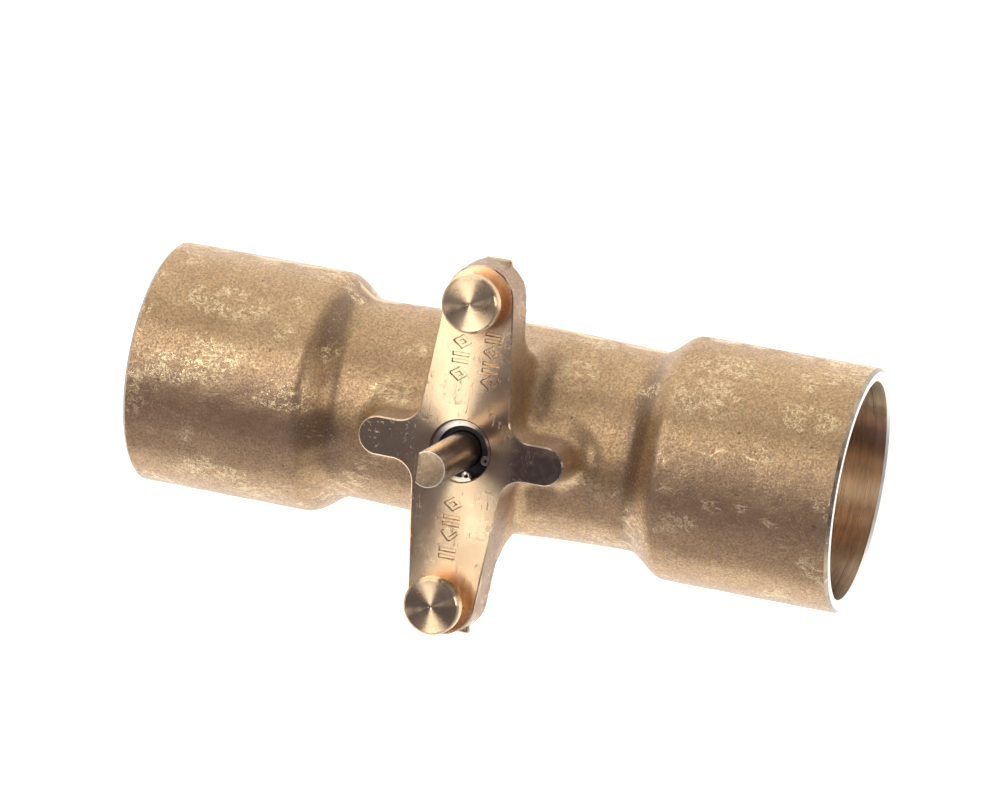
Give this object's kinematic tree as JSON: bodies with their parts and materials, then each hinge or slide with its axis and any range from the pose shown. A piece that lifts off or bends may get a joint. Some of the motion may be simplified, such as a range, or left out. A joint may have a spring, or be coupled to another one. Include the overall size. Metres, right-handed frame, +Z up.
{
  "type": "ball valve",
  "caption": "Straight brass ball valve with solder sockets, a cross-shaped actuator pad, headed studs and a flatted stem; a quarter turn opens or closes the flow.",
  "frame": {"origin": "centre of the ball, where the flow axis crosses the stem axis", "axes": "+X along the flow towards the outlet socket, +Y along the long arms of the actuator pad towards the rear stud, +Z up the stem"},
  "size_m": [0.096, 0.0486, 0.0509],
  "materials": {
    "forged_brass": "blasted forging, machined pad, bores and socket ends",
    "turned_brass": "lathe-turned, bright",
    "ball_chrome": "polished chrome plate",
    "seat_polymer": "machined white PTFE",
    "bushing_polymer": "moulded black polymer",
    "spring_steel": "stamped spring steel, edge rounded",
    "seal_rubber": "smooth moulded rubber"
  },
  "bodies": {
    "housing": {"valve_body": "forged_brass", "inlet_seat": "seat_polymer", "inlet_seat_o_ring": "seal_rubber", "outlet_seat": "seat_polymer", "outlet_seat_o_ring": "seal_rubber", "seat_retainer": "turned_brass", "retainer_o_ring": "seal_rubber", "stem_thrust_washer": "seat_polymer", "stem_guide_bushing": "bushing_polymer", "stem_retaining_ring": "spring_steel", "front_actuator_stud": "turned_brass", "rear_actuator_stud": "turned_brass"},
    "turning_stem": {"stem": "turned_brass", "stem_lower_o_ring": "seal_rubber", "stem_upper_o_ring": "seal_rubber"},
    "turning_ball": {"ball": "ball_chrome"}
  },
  "joints": [
    {"name": "stem_turn", "type": "hinge", "parent": "housing", "child": "turning_stem", "pos_m": [0, 0, 0], "axis": [0, 0, -1], "range_deg": [0, 90]},
    {"name": "ball_turn", "type": "hinge", "parent": "housing", "child": "turning_ball", "pos_m": [0, 0, 0], "axis": [0, 0, -1], "range_deg": [0, 90]}
  ],
  "couplings": [
    {"joint": "ball_turn", "follows": "stem_turn", "ratio": 1}
  ]
}
